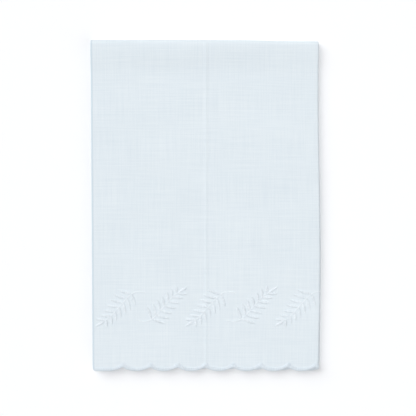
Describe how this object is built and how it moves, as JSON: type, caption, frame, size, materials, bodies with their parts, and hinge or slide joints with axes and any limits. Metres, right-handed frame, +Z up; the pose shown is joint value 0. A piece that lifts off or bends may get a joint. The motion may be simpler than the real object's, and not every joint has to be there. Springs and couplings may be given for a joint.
{
  "type": "folded hand towel",
  "caption": "Pale blue linen hand towel, folded lengthwise and crosswise, with a scalloped satin-stitched end and a border of embroidered fern sprays.",
  "frame": {"origin": "centre of the folded towel's footprint, on the surface that it lies on", "axes": "+Z up out of the embroidered face, +Y towards the crosswise fold, -Y towards the scalloped end, +X towards the lengthwise fold"},
  "size_m": [0.1797, 0.2589, 0.0086],
  "materials": {
    "linen": "matte plain-woven linen, pale icy blue, with tone-on-tone satin stitch"
  },
  "bodies": {
    "root": {"towel": "linen"}
  },
  "joints": []
}
